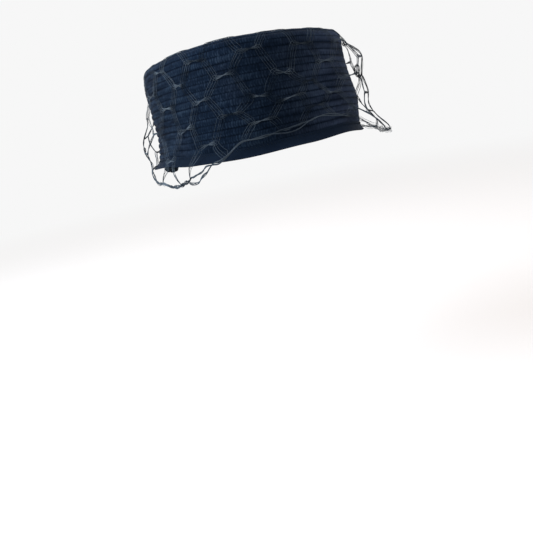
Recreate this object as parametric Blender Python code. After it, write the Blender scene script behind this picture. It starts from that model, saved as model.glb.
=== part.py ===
# Pillbox hat of row-stitched braid with a veil of coarse hexagonal net, in the form it takes when worn.
# The origin is the middle of the head opening. Front is -Y, the wearer's right is -X and up is +Z.
# A turn is an angle round the crown in degrees: 0 is the front, 90 the wearer's right, 180 the back.

import math
from collections import namedtuple

import bmesh
import bpy

# Driving sizes in metres.
CROWN_LENGTH = 0.200  # front to back at mid height, over the crests of the rows
CROWN_WIDTH = 0.176  # side to side, likewise
CROWN_HEIGHT = 0.090  # rim to top
SIDE_LEAN = 0.0075  # how far the side leans in from the rim to the top
EDGE_RADIUS = 0.0086  # round top edge
WALL = 0.0022  # thickness of the side and of the rows at the edge
RETURN = 0.009  # rows on the flat top, from the round edge inwards
ROW_DEPTH = 0.0009  # depth of the groove between two rows of braid
TIP_THICKNESS = 0.0020
TIP_DOME = 0.0020  # rise of the middle of the top
BINDING_HEIGHT = 0.0080
LIP_FLARE = 0.0049  # how far the bound edge turns out
SEAM_GAP = 0.0003  # clearance where two pieces meet
NET_CLEARANCE = 0.0005  # from the crests of the rows to the net
NET_THICKNESS = 0.0010
STRAND_WIDTH = 0.0050  # one band of threads of the net
TOP_VEIL = 0.0260  # path of the net on the flat top, from where it is drawn in to the round edge
NET_FOOT = 0.0050  # usual height of the net's lower border above the rim
TACK_LENGTH = 0.0230
TACK_DEPTH = 0.0055
TACK_HEIGHT = 0.0060

# Counts and shares.
SEGMENTS = 48  # facets round the oval
ROWS = 18  # rows of braid, from the binding to the end of the return
SIDE_ROWS = 15  # of these on the side; the rest belong to the tip, which turns over the edge
NET_COLUMNS = 26  # an even number
HALF_ROWS = 8  # half cells from the drawn-in border to the lower one
TOP_HALF_ROWS = 2 + 1 / 3  # of these in veil_top, which ends as the slanting strands turn down
CUT_REACH = 0.12  # corners this near to that end, in half rows, belong to it
HALF_BAR = 0.29  # half of a cell's level strand, as a share of the column pitch
LIP_STEPS = (1, 0.62, 0.26)  # heights of the lip's section, as shares of the binding's height
LIP_ROUND = (0.28, 0.85)  # where its rounded lower edge lies, as shares of the wall
NET_LIP = 2.8  # over how many binding heights the net follows the lip outwards

# How the rim and the top wave up and down, as shares of the height, and how far the lip turns out,
# as a share of the flare.
Station = namedtuple("Station", "turn rim_rise top_rise flare")
STATIONS = [
    Station(0, 0.000, -0.012, 0.55),
    Station(25, 0.021, -0.020, 0.80),
    Station(50, 0.000, -0.004, 1.00),
    Station(80, -0.022, 0.018, 1.00),
    Station(105, -0.010, 0.016, 1.10),
    Station(126, 0.018, 0.002, 1.15),
    Station(150, 0.004, 0.000, 1.20),
    Station(180, 0.000, 0.000, 1.10),
    Station(270, -0.008, 0.004, 1.00),
    Station(335, 0.006, -0.006, 0.70),
]

# Dents and swellings of the side, as shares of the width, with their reach as degrees and a share of
# the height.
Dent = namedtuple("Dent", "turn height push turn_reach height_reach")
DENTS = [
    Dent(150, 0.80, 0.010, 26, 0.14),
    Dent(148, 0.30, -0.016, 24, 0.20),
    Dent(-4, 0.78, -0.010, 22, 0.22),
    Dent(-4, 0.34, 0.015, 24, 0.17),
    Dent(70, 0.55, 0.004, 30, 0.25),
    Dent(112, 0.52, -0.005, 16, 0.20),
    Dent(235, 0.45, -0.006, 30, 0.25),
    Dent(300, 0.55, 0.005, 30, 0.25),
]

# Where the net's lower border hangs, as a share of the height above the rim, and how far the net
# stands off the side high up, half way down, low down and at that border, as shares of the height.
Fall = namedtuple("Fall", "turn foot high middle low border")
FALLS = [
    Fall(-34, 0.03, 0.01, 0.02, 0.03, 0.04),
    Fall(-18, -0.04, 0.10, 0.07, 0.08, 0.22),
    Fall(-2, -0.07, 0.16, 0.11, 0.10, 0.29),
    Fall(10, -0.04, 0.13, 0.08, 0.08, 0.20),
    Fall(24, 0.16, 0.02, 0.01, 0.02, 0.04),
    Fall(40, 0.21, 0.00, 0.00, 0.00, 0.01),
    Fall(60, 0.18, 0.00, 0.00, 0.00, 0.01),
    Fall(78, 0.12, 0.00, 0.00, 0.00, 0.01),
    Fall(92, 0.00, 0.00, 0.00, 0.01, 0.03),
    Fall(104, -0.10, 0.00, 0.00, 0.01, 0.04),
    Fall(118, -0.19, 0.00, 0.00, 0.01, 0.03),
    Fall(134, -0.15, 0.00, 0.01, 0.04, 0.02),
    Fall(150, -0.03, 0.00, 0.04, 0.12, 0.01),
    Fall(172, 0.02, 0.00, 0.04, 0.12, 0.03),
    Fall(196, 0.05, 0.00, 0.02, 0.03, 0.02),
    Fall(230, 0.06, 0.00, 0.00, 0.00, 0.01),
    Fall(300, 0.06, 0.00, 0.00, 0.00, 0.01),
]

# Pulls that drag the cells of the net out of line: degrees round and a share of the height up, with
# their reach as degrees and a share of the height.
Pull = namedtuple("Pull", "turn height around up turn_reach height_reach")
PULLS = [
    Pull(132, 0.60, -5.0, 0.000, 26, 0.80),
    Pull(130, 0.82, 0.0, 0.055, 14, 0.14),
    Pull(54, 0.66, 0.0, -0.065, 12, 0.12),
    Pull(70, 0.50, -1.5, -0.055, 9, 0.12),
    Pull(48, 0.35, -3.5, 0.020, 12, 0.14),
    Pull(28, 0.60, 3.0, -0.030, 12, 0.20),
    Pull(215, 0.55, 2.5, 0.030, 18, 0.25),
    Pull(275, 0.45, -2.5, -0.030, 20, 0.25),
    Pull(318, 0.60, 2.0, 0.020, 14, 0.20),
]

TACK_TURN = 122.5  # where the net is tacked under the rim


def apart(turn, other):
    return (turn - other + 180) % 360 - 180


def between(table, turn):
    """The table's row at this turn, eased from one row to the next round the oval."""
    rows = sorted(table, key=lambda row: row.turn % 360)
    turn %= 360
    after = next((i for i, row in enumerate(rows) if row.turn % 360 > turn), 0)
    first, second = rows[after - 1], rows[after]
    span = (second.turn - first.turn) % 360
    share = ((turn - first.turn) % 360) / span
    share = share * share * (3 - 2 * share)
    return type(first)(*(a + (b - a) * share for a, b in zip(first, second)))


def bell(turn, height, row):
    round_it = apart(turn, row.turn) / row.turn_reach
    up_it = (height - row.height) / row.height_reach
    return math.exp(-round_it * round_it - up_it * up_it)


def oval(turn, out, z):
    """The point this far outside the crown's middle oval."""
    angle = math.radians(turn)
    across = CROWN_WIDTH / 2 + out
    along = CROWN_LENGTH / 2 + out
    return (-across * math.sin(angle), -along * math.cos(angle), z)


def level(turn, share):
    """The height of a share of the side, between the waving rim and the waving top."""
    station = between(STATIONS, turn)
    return CROWN_HEIGHT * (share + station.rim_rise * (1 - share) + station.top_rise * share)


def side_out(turn, share):
    """How far the crests of the rows stand outside the middle oval."""
    held = min(max(share, 0), 1)
    dents = sum(dent.push * bell(turn, held, dent) for dent in DENTS)
    return SIDE_LEAN * (0.5 - held) + dents * CROWN_WIDTH


def flare(turn, share, reach):
    """The lip's turn-out, over this much of the height above the rim."""
    left = max(1 - max(share, 0) * CROWN_HEIGHT / reach, 0)
    return LIP_FLARE * between(STATIONS, turn).flare * left**1.5


def top_height(turn, inset):
    """The height of the top, this far in from the side."""
    left = max(1 - inset / (CROWN_WIDTH / 2), 0)
    middle = CROWN_HEIGHT + TIP_DOME
    return middle + (level(turn, 1) - middle) * left * left


EDGE_SHARE = 1 - EDGE_RADIUS / CROWN_HEIGHT  # the share of the side where the round edge begins
BINDING_SHARE = BINDING_HEIGHT / CROWN_HEIGHT


def shell(turn, path, depth):
    """A point of the side or its return. Path runs from the binding up the side, round the edge and in."""
    side = (EDGE_SHARE - BINDING_SHARE) * CROWN_HEIGHT
    edge = EDGE_RADIUS * math.pi / 2
    rim = side_out(turn, EDGE_SHARE)
    top = top_height(turn, EDGE_RADIUS)
    if path <= side:
        share = BINDING_SHARE + path / CROWN_HEIGHT
        low = level(turn, share)
        eased = low + (top - EDGE_RADIUS - level(turn, EDGE_SHARE)) * path / side
        return oval(turn, side_out(turn, share) - depth, eased)
    if path <= side + edge:
        angle = (path - side) / EDGE_RADIUS
        reach = EDGE_RADIUS - depth
        out = rim - EDGE_RADIUS + reach * math.cos(angle)
        return oval(turn, out, top - EDGE_RADIUS + reach * math.sin(angle))
    inset = EDGE_RADIUS + path - side - edge
    return oval(turn, rim - inset, top_height(turn, inset) - depth)


def add_object(name, points, faces, colour, roughness, sheen):
    mesh = bpy.data.meshes.new(name)
    mesh.from_pydata(points, [], faces)
    shape = bmesh.new()
    shape.from_mesh(mesh)
    bmesh.ops.recalc_face_normals(shape, faces=shape.faces)
    shape.to_mesh(mesh)
    shape.free()
    made = bpy.data.objects.new(name, mesh)
    bpy.context.scene.collection.objects.link(made)
    material = bpy.data.materials.new(name)
    material.use_nodes = True
    shader = material.node_tree.nodes["Principled BSDF"]
    shader.inputs["Base Color"].default_value = (*colour, 1)
    shader.inputs["Roughness"].default_value = roughness
    shader.inputs["Sheen Weight"].default_value = sheen
    mesh.materials.append(material)
    return made


def turns():
    return [360 * step / SEGMENTS for step in range(SEGMENTS)]


def band(name, section, colour, roughness, sheen):
    """A closed band round the oval from its section at each turn."""
    sections = [section(turn) for turn in turns()]
    count = len(sections[0])
    points = [point for one in sections for point in one]
    faces = []
    for step in range(SEGMENTS):
        here, there = step * count, (step + 1) % SEGMENTS * count
        for i in range(count):
            j = (i + 1) % count
            faces.append((here + i, here + j, there + j, there + i))
    return add_object(name, points, faces, colour, roughness, sheen)


def row_path(rows):
    """The path over this many rows of braid, from the binding."""
    side = (EDGE_SHARE - BINDING_SHARE) * CROWN_HEIGHT
    return (side + EDGE_RADIUS * math.pi / 2 + RETURN) * rows / ROWS


def row_points(turn, first, last, trim_first, trim_last):
    """Crests and grooves of these rows, with this much trimmed off at both ends."""
    points = []
    for half in range(2 * first, 2 * last + 1):
        trim = trim_first if half == 2 * first else -trim_last if half == 2 * last else 0
        points.append(shell(turn, row_path(half / 2) + trim, 0 if half % 2 else ROW_DEPTH))
    return points


def side_section(turn):
    side = (EDGE_SHARE - BINDING_SHARE) * CROWN_HEIGHT
    end = row_path(SIDE_ROWS) - SEAM_GAP / 2
    outer = row_points(turn, 0, SIDE_ROWS, 0, SEAM_GAP / 2)
    inner = [shell(turn, side * i / 4, WALL) for i in range(5)]
    inner.append(shell(turn, end, WALL))
    return outer + inner[::-1]


def binding_section(turn):
    """The lip: its outer face, its rounded lower edge and its inner face."""
    top = BINDING_SHARE - SEAM_GAP / CROWN_HEIGHT
    outer = []
    inner = []
    for step in LIP_STEPS:
        share = top * step
        out = side_out(turn, share) + flare(turn, share, BINDING_HEIGHT)
        outer.append(oval(turn, out, level(turn, share)))
        inner.append(oval(turn, out - WALL, level(turn, share)))
    foot = side_out(turn, 0) + flare(turn, 0, BINDING_HEIGHT)
    lowest = level(turn, 0)
    ends = [oval(turn, foot - WALL * share, lowest) for share in LIP_ROUND]
    return outer + ends + inner[::-1]


def tip_object():
    """The oval top: its rows over the edge, its flat middle, and the same again below."""
    inset = EDGE_RADIUS + RETURN
    reach = CROWN_WIDTH / 2
    start = row_path(SIDE_ROWS) + SEAM_GAP / 2
    edge_end = (EDGE_SHARE - BINDING_SHARE) * CROWN_HEIGHT + EDGE_RADIUS * math.pi / 2
    rings = [[] for _ in range(2 * (ROWS - SIDE_ROWS) + 6)]
    for turn in turns():
        x, y, _ = oval(turn, side_out(turn, EDGE_SHARE) - inset, 0)
        section = row_points(turn, SIDE_ROWS, ROWS, SEAM_GAP / 2, 0)
        half_way = inset + (reach - inset) / 2
        for below in (0, TIP_THICKNESS):
            section.append((x / 2, y / 2, top_height(turn, half_way) - below))
        section.append((x, y, top_height(turn, inset) - WALL))
        section.append(shell(turn, edge_end, WALL))
        section.append(shell(turn, start, WALL))
        for ring, point in zip(rings, section):
            ring.append(point)
    points = [point for ring in rings for point in ring]
    above = 2 * (ROWS - SIDE_ROWS) + 1  # the ring half way to the middle
    faces = []
    for ring in range(len(rings)):
        if ring == above:
            continue
        here, there = ring * SEGMENTS, (ring + 1) % len(rings) * SEGMENTS
        for i in range(SEGMENTS):
            j = (i + 1) % SEGMENTS
            faces.append((here + i, here + j, there + j, there + i))
    for ring, below in ((above, 0), (above + 1, TIP_THICKNESS)):
        points.append((0, 0, CROWN_HEIGHT + TIP_DOME - below))
        for i in range(SEGMENTS):
            j = (i + 1) % SEGMENTS
            faces.append((ring * SEGMENTS + i, ring * SEGMENTS + j, len(points) - 1))
    return add_object("crown_tip", points, faces, (0.008, 0.012, 0.026), 0.8, 0.3)


NET_EDGE = (EDGE_RADIUS + NET_CLEARANCE) * math.pi / 2
NET_DROP = CROWN_HEIGHT * EDGE_SHARE - NET_FOOT
NET_PATH = TOP_VEIL + NET_EDGE + NET_DROP


def stand_off(turn, half_row):
    """How far the net is from the side, eased between the four heights of the table."""
    fall = between(FALLS, turn)
    marks = [(2.3, 0), (3.9, fall.high), (5, fall.middle), (6.4, fall.low), (8, fall.border)]
    for (low, first), (high, second) in zip(marks, marks[1:]):
        if half_row <= high:
            share = max((half_row - low) / (high - low), 0)
            share = share * share * (3 - 2 * share)
            return (first + (second - first) * share) * CROWN_HEIGHT
    return fall.border * CROWN_HEIGHT


def net_point(column, half_row, lift):
    """A point of the net. Column runs round it, half_row from the drawn-in border to the lower one."""
    turn = 360 * column / NET_COLUMNS
    path = NET_PATH * half_row / HALF_ROWS
    if path < TOP_VEIL:
        inset = EDGE_RADIUS + TOP_VEIL - path
        over = top_height(turn, inset) + NET_CLEARANCE + lift
        return oval(turn, side_out(turn, EDGE_SHARE) - inset, over)
    share = EDGE_SHARE - max(path - TOP_VEIL - NET_EDGE, 0) / CROWN_HEIGHT
    fade = min(max((half_row - 2) / 1.5, 0), 1)
    around = sum(pull.around * bell(turn, share, pull) for pull in PULLS) * fade
    up = sum(pull.up * bell(turn, share, pull) for pull in PULLS) * fade
    turn += around
    rim = side_out(turn, EDGE_SHARE)
    top = top_height(turn, EDGE_RADIUS)
    out = stand_off(turn, half_row)
    if path < TOP_VEIL + NET_EDGE:
        angle = (path - TOP_VEIL) / (NET_EDGE / (math.pi / 2))
        reach = EDGE_RADIUS + NET_CLEARANCE + lift
        sideways = rim - EDGE_RADIUS + reach * math.sin(angle) + out
        return oval(turn, sideways, top - EDGE_RADIUS + reach * math.cos(angle))
    share += up
    foot = between(FALLS, turn).foot - NET_FOOT / CROWN_HEIGHT
    share += foot * min(max((half_row - 5) / 3, 0), 1.1) ** 1.3
    lip = flare(turn, share, BINDING_HEIGHT * NET_LIP)
    out += side_out(turn, share) + lip + NET_CLEARANCE + lift
    drop = (top - EDGE_RADIUS - level(turn, EDGE_SHARE)) * min(max(share, 0), 1) / EDGE_SHARE
    return oval(turn, out, level(turn, share) + drop)


def leg(column, half_row, side, step):
    """The points of a slanting strand after its start, down or up by step to the next column."""
    cuts = {1: 2, 2: 3, 7: 2}.get(min(half_row, half_row + step), 1)
    across = 1 - 2 * HALF_BAR
    return [
        (column + side * (HALF_BAR + across * i / cuts), half_row + step * i / cuts)
        for i in range(1, cuts + 1)
    ]


def cell(column, first, last):
    """The outline of one cell of the net, along the middles of its strands."""
    outline = []
    if last - first == 2:
        outline += [(column - HALF_BAR, first), (column + HALF_BAR, first)]
        outline += leg(column, first, 1, 1)
        outline += leg(column, last, 1, -1)[-2::-1]
        outline += [(column + HALF_BAR, last), (column - HALF_BAR, last)]
        outline += leg(column, last, -1, -1)
        outline += leg(column, first, -1, 1)[-2::-1]
        return outline
    reach = 1 - HALF_BAR
    border, inner = (first, last) if first == 0 else (last, first)
    step = border - inner
    cuts = 2 if border == 0 else 4
    outline += [(column - HALF_BAR, inner), (column + HALF_BAR, inner)]
    outline += leg(column, inner, 1, step)
    outline += [(column + reach - 2 * reach * i / cuts, border) for i in range(1, cuts)]
    outline += leg(column, inner, -1, step)[::-1]
    return outline


def inset_hole(outline):
    """The cell's hole: each edge moved in by half a strand, measured on the net itself."""
    count = len(outline)
    middle = (sum(p[0] for p in outline) / count, sum(p[1] for p in outline) / count)
    step = 0.05
    here = net_point(middle[0], middle[1], 0)
    wide = math.dist(here, net_point(middle[0] + step, middle[1], 0)) / step
    tall = math.dist(here, net_point(middle[0], middle[1] + step, 0)) / step
    flat = [((p[0] - middle[0]) * wide, (p[1] - middle[1]) * tall) for p in outline]
    lines = []
    for i in range(count):
        (x0, y0), (x1, y1) = flat[i], flat[(i + 1) % count]
        length = math.hypot(x1 - x0, y1 - y0)
        normal = ((y1 - y0) / length, (x0 - x1) / length)
        distance = normal[0] * x0 + normal[1] * y0
        if distance < 0:
            normal = (-normal[0], -normal[1])
            distance = -distance
        lines.append((normal, distance - min(STRAND_WIDTH / 2, 0.45 * distance)))
    hole = []
    for i in range(count):
        (first, a), (second, b) = lines[i - 1], lines[i]
        cross = first[0] * second[1] - first[1] * second[0]
        if abs(cross) < 0.05:
            near = (a + b) / 2
            along = flat[i][0] * -second[1] + flat[i][1] * second[0]
            along *= near / max(second[0] * flat[i][0] + second[1] * flat[i][1], 1e-9)
            x, y = second[0] * near - second[1] * along, second[1] * near + second[0] * along
        else:
            x = (a * second[1] - b * first[1]) / cross
            y = (b * first[0] - a * second[0]) / cross
        hole.append((middle[0] + x / wide, middle[1] + y / tall))
    return hole


def net_quads():
    """The net as flat quads in columns and half rows: a frame round the hole of each cell, and the hems."""
    quads = []
    borders = {0: set(), HALF_ROWS: set()}

    def frame(outer, inner):
        for i in range(len(outer)):
            j = (i + 1) % len(outer)
            quads.append((outer[i], outer[j], inner[j], inner[i]))

    for column in range(NET_COLUMNS):
        if column % 2:
            spans = [(0, 1)] + [(row, row + 2) for row in range(1, HALF_ROWS - 2, 2)]
            spans.append((HALF_ROWS - 1, HALF_ROWS))
        else:
            spans = [(row, row + 2) for row in range(0, HALF_ROWS, 2)]
        for first, last in spans:
            outline = cell(column, first, last)
            frame(outline, inset_hole(outline))
            for border in borders:
                borders[border] |= {round(x % NET_COLUMNS, 4) for x, row in outline if row == border}
    hem = STRAND_WIDTH / 2 / (NET_PATH / HALF_ROWS)
    for border, outwards in ((0, -hem), (HALF_ROWS, hem)):
        around = sorted(borders[border])
        frame([(x, border) for x in around], [(x, border + outwards) for x in around])
    return quads


def net_object(name, quads, cut_row, side):
    """The quads on one side of cut_row as a sheet with its thickness. Side is -1 above it and 1 below."""
    gap = SEAM_GAP / 2 / (NET_PATH / HALF_ROWS)
    points = []
    shared = {}
    faces = []
    edges = {}

    def corner(place):
        column, row = place
        if abs(row - cut_row) < CUT_REACH:
            row += side * gap
        key = (round(column % NET_COLUMNS, 3) % NET_COLUMNS, round(row, 3))
        if key not in shared:
            shared[key] = len(points)
            points.extend((net_point(column, row, 0), net_point(column, row, NET_THICKNESS)))
        return shared[key]

    for quad in quads:
        if (sum(row for _, row in quad) / 4 - cut_row) * side < 0:
            continue
        corners = [corner(place) for place in quad]
        faces.append(corners)
        faces.append([i + 1 for i in reversed(corners)])
        for i in range(4):
            edge = (corners[i], corners[(i + 1) % 4])
            edges[frozenset(edge)] = [*edges.get(frozenset(edge), []), edge]
    for found in edges.values():
        if len(found) == 1:
            first, second = found[0]
            faces.append((second, first, first + 1, second + 1))
    return add_object(name, points, faces, (0.010, 0.013, 0.026), 0.5, 0.2)


def tack_object():
    """The gathered knot under the rim: a small squashed ball with soft pleats."""
    out = side_out(TACK_TURN, 0) + flare(TACK_TURN, 0, BINDING_HEIGHT) - WALL
    middle = oval(TACK_TURN, out, level(TACK_TURN, 0) - TACK_HEIGHT / 2 - SEAM_GAP * 2)
    before, after = oval(TACK_TURN - 1, out, 0), oval(TACK_TURN + 1, out, 0)
    length = math.dist(before, after)
    along = ((after[0] - before[0]) / length, (after[1] - before[1]) / length)
    across, layers = 10, 7
    points = [None]
    faces = []

    def place(far, side, up):
        return (
            middle[0] + far * along[0] - side * along[1],
            middle[1] + far * along[1] + side * along[0],
            middle[2] + up,
        )

    points[0] = place(-TACK_LENGTH / 2, 0, 0)
    for layer in range(1, layers):
        lean = math.pi * layer / layers
        for step in range(across):
            angle = 2 * math.pi * step / across
            pleat = 1 if step % 2 else 0.86
            side = TACK_DEPTH / 2 * math.sin(lean) * math.cos(angle) * pleat
            up = TACK_HEIGHT / 2 * math.sin(lean) * math.sin(angle) * pleat
            points.append(place(-TACK_LENGTH / 2 * math.cos(lean), side, up))
    points.append(place(TACK_LENGTH / 2, 0, 0))
    last = len(points) - 1
    for step in range(across):
        after = (step + 1) % across
        faces.append((0, 1 + after, 1 + step))
        faces.append((last, last - across + step, last - across + after))
        for layer in range(layers - 2):
            base = 1 + layer * across
            faces.append((base + step, base + after, base + across + after, base + across + step))
    return add_object("veil_tack", points, faces, (0.008, 0.010, 0.020), 0.6, 0.2)


for existing in list(bpy.data.objects):
    bpy.data.objects.remove(existing, do_unlink=True)
band("side_band", side_section, (0.010, 0.016, 0.035), 0.6, 0.5)
band("rim_binding", binding_section, (0.006, 0.008, 0.018), 0.5, 0.4)
tip_object()
net_object("veil_top", net_quads(), TOP_HALF_ROWS, -1)
net_object("veil_net", net_quads(), TOP_HALF_ROWS, 1)
tack_object()
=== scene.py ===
import math

import bpy
import numpy as np
from mathutils import Matrix, Vector


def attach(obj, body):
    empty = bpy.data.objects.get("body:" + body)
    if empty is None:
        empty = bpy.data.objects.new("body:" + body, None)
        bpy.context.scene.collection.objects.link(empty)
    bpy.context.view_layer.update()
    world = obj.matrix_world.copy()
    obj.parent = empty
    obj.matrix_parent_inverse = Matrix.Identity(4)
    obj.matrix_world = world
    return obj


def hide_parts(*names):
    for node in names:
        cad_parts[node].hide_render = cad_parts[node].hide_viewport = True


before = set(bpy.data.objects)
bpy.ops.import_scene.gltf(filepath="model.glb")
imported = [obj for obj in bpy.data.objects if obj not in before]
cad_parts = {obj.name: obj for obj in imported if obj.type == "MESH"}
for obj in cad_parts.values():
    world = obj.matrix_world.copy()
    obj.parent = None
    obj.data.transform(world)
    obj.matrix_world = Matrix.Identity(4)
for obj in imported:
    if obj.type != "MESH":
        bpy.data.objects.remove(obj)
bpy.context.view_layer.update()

# Turns are angles round the crown in degrees: 0 is the front (-Y), 90 the wearer's right (-X).
crown = {
    "length": 0.200,  # front to back at mid height, over the crests of the rows
    "width": 0.176,
    "height": 0.090,
    "lean": 0.0075,  # the side leans in by this from the rim to the top
    "edgeRadius": 0.0086,
    "wall": 0.0022,
    "topReturn": 0.009,
    "tipThickness": 0.0020,
    "tipDome": 0.0020,
    "bindingHeight": 0.0080,
    "lipFlare": 0.0049,
    "rows": 18,
}
net = {
    "columns": 26,
    "halfRows": 8,
    "clearance": 0.0005,
    "topVeil": 0.0260,
    "foot": 0.0050,
    "halfBar": 0.29,  # half of a cell's level side, as a share of the column pitch
    "offMarks": (2.3, 3.9, 5.0, 6.4, 8.0),  # half rows where the stand-off reaches its next value
}

# How the rim and the top wave, as shares of the height, and the lip's turn-out as a share of the flare.
stationColumns = ("turn", "rimRise", "topRise", "flare")
stations = [
    (0, 0.000, -0.012, 0.55),
    (25, 0.021, -0.020, 0.80),
    (50, 0.000, -0.004, 1.00),
    (80, -0.022, 0.018, 1.00),
    (105, -0.010, 0.016, 1.10),
    (126, 0.018, 0.002, 1.15),
    (150, 0.004, 0.000, 1.20),
    (180, 0.000, 0.000, 1.10),
    (270, -0.008, 0.004, 1.00),
    (335, 0.006, -0.006, 0.70),
]
# Dents: turn, height, push, and how far they reach round and up.
dents = [
    (150, 0.80, 0.010, 26, 0.14),
    (148, 0.30, -0.016, 24, 0.20),
    (-4, 0.78, -0.010, 22, 0.22),
    (-4, 0.34, 0.015, 24, 0.17),
    (70, 0.55, 0.004, 30, 0.25),
    (112, 0.52, -0.005, 16, 0.20),
    (235, 0.45, -0.006, 30, 0.25),
    (300, 0.55, 0.005, 30, 0.25),
]
# The veil's lower border and how far the net stands off the side, as shares of the height.
offColumns = ("high", "middle", "low", "border")
fallColumns = ("turn", "foot", *offColumns)
falls = [
    (-34, 0.03, 0.01, 0.02, 0.03, 0.04),
    (-18, -0.04, 0.10, 0.10, 0.09, 0.22),
    (-2, -0.045, 0.165, 0.14, 0.09, 0.25),
    (10, -0.04, 0.13, 0.11, 0.09, 0.20),
    (24, 0.16, 0.02, 0.01, 0.02, 0.04),
    (40, 0.21, 0.00, 0.00, 0.00, 0.01),
    (60, 0.155, 0.00, 0.00, 0.00, 0.01),
    (78, 0.145, 0.00, 0.00, 0.00, 0.01),
    (92, 0.00, 0.00, 0.00, 0.01, 0.03),
    (104, -0.10, 0.00, 0.00, 0.01, 0.04),
    (118, -0.19, 0.00, 0.00, 0.01, 0.03),
    (134, -0.15, 0.00, 0.01, 0.04, 0.02),
    (150, -0.03, 0.00, 0.05, 0.16, 0.02),
    (172, 0.02, 0.00, 0.05, 0.15, 0.04),
    (196, 0.05, 0.00, 0.02, 0.03, 0.02),
    (230, 0.06, 0.00, 0.00, 0.00, 0.01),
    (300, 0.06, 0.00, 0.00, 0.00, 0.01),
]
# Pulls that drag the cells: turn, height, degrees round, share up, and how far they reach.
pulls = [
    (132, 0.60, -5.0, 0.000, 26, 0.80),
    (130, 0.82, 0.0, 0.055, 14, 0.14),
    (54, 0.66, 0.0, -0.065, 12, 0.12),
    (70, 0.50, -1.5, -0.055, 9, 0.12),
    (48, 0.35, -3.5, 0.020, 12, 0.14),
    (28, 0.60, 3.0, -0.030, 12, 0.20),
    (215, 0.55, 2.5, 0.030, 18, 0.25),
    (275, 0.45, -2.5, -0.030, 20, 0.25),
    (318, 0.60, 2.0, 0.020, 14, 0.20),
]


def smooth(share):
    share = np.clip(share, 0, 1)
    return share * share * (3 - 2 * share)


def rise(value, start, over):  # from 0 at the start to 1 so much further
    return smooth((value - start) / over)


def fromTurn(turn, middle):  # degrees from there, the short way round
    return np.mod(turn - middle + 180, 360) - 180


def eased(table, columns, name, turn):  # a table's column at any turn
    rows = sorted(table, key=lambda row: row[0] % 360)
    starts = np.array([row[0] % 360 for row in rows], float)
    values = np.array([row[columns.index(name)] for row in rows], float)
    turn = np.mod(np.asarray(turn, float), 360)
    after = np.searchsorted(starts, turn, side="right")
    first = (after - 1) % len(rows)
    second = after % len(rows)
    span = np.mod(starts[second] - starts[first], 360)
    share = smooth(np.mod(turn - starts[first], 360) / span)
    return values[first] + (values[second] - values[first]) * share


def bells(table, column, turn, height):  # the sum of a table's dents or pulls at a place
    total = 0
    for row in table:
        aside, above = fromTurn(turn, row[0]) / row[-2], (height - row[1]) / row[-1]
        total = total + row[column] * np.exp(-(aside**2) - above**2)
    return total


def oval(turn, out, z):
    angle = np.radians(turn)
    across = crown["width"] / 2 + out
    along = crown["length"] / 2 + out
    return np.stack(np.broadcast_arrays(-across * np.sin(angle), -along * np.cos(angle), z), -1)


def level(turn, share):
    rim = eased(stations, stationColumns, "rimRise", turn)
    top = eased(stations, stationColumns, "topRise", turn)
    return crown["height"] * (share + rim * (1 - share) + top * share)


def sideOut(turn, share):
    held = np.clip(share, 0, 1)
    return crown["lean"] * (0.5 - held) + crown["width"] * bells(dents, 2, turn, held)


def flare(turn, share, reach):
    left = np.clip(1 - np.maximum(share, 0) * crown["height"] / reach, 0, None)
    return crown["lipFlare"] * eased(stations, stationColumns, "flare", turn) * left**1.5


def topHeight(turn, inset):
    left = np.clip(1 - inset / (crown["width"] / 2), 0, None)
    middle = crown["height"] + crown["tipDome"]
    return middle + (level(turn, 1) - middle) * left * left


edgeShare = 1 - crown["edgeRadius"] / crown["height"]
bindingShare = crown["bindingHeight"] / crown["height"]
sidePath = (edgeShare - bindingShare) * crown["height"]
edgePath = crown["edgeRadius"] * math.pi / 2
wholePath = sidePath + edgePath + crown["topReturn"]
perimeter = math.pi * (crown["length"] + crown["width"]) / 2


def shell(turn, path, depth):  # a point of the braided wall: up the side, round the edge, onto the top
    turn, path, depth = np.broadcast_arrays(turn, np.asarray(path, float), depth)
    radius = crown["edgeRadius"]
    rim = sideOut(turn, edgeShare)
    top = topHeight(turn, radius)
    share = bindingShare + np.minimum(path, sidePath) / crown["height"]
    climb = (top - radius - level(turn, edgeShare)) * np.clip(path / sidePath, 0, 1)
    onSide = oval(turn, sideOut(turn, share) - depth, level(turn, share) + climb)
    angle = np.clip((path - sidePath) / radius, 0, math.pi / 2)
    reach = radius - depth
    onEdge = oval(turn, rim - radius + reach * np.cos(angle), top - radius + reach * np.sin(angle))
    inset = radius + np.maximum(path - sidePath - edgePath, 0)
    onTop = oval(turn, rim - inset, topHeight(turn, inset) - depth)
    pastEdge = np.where((path <= sidePath + edgePath)[..., None], onEdge, onTop)
    return np.where((path <= sidePath)[..., None], onSide, pastEdge)


def ripple(turn, seed, waves, amount):  # an even wander round the oval, the same each run
    chance = np.random.default_rng(seed)
    angle = np.radians(turn)
    total = 0
    for wave in waves:
        total = total + math.sqrt(waves[0] / wave) * np.sin(wave * angle + chance.uniform(0, 2 * math.pi))
    return amount * total / math.sqrt(len(waves))


# The camera, at the photograph's angle to the hat. The hat itself is modelled level.
photoView = {
    "imageSide": 533,
    "focalPixels": 444.07,
    "hatPixel": (249.55, 103.1),  # where the middle of the crown falls
    "azimuth": 289.0,
    "elevation": -3.45,
    "roll": -11.15,
    "distance": 0.470,
    "sensor": 36.0,
}


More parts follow.
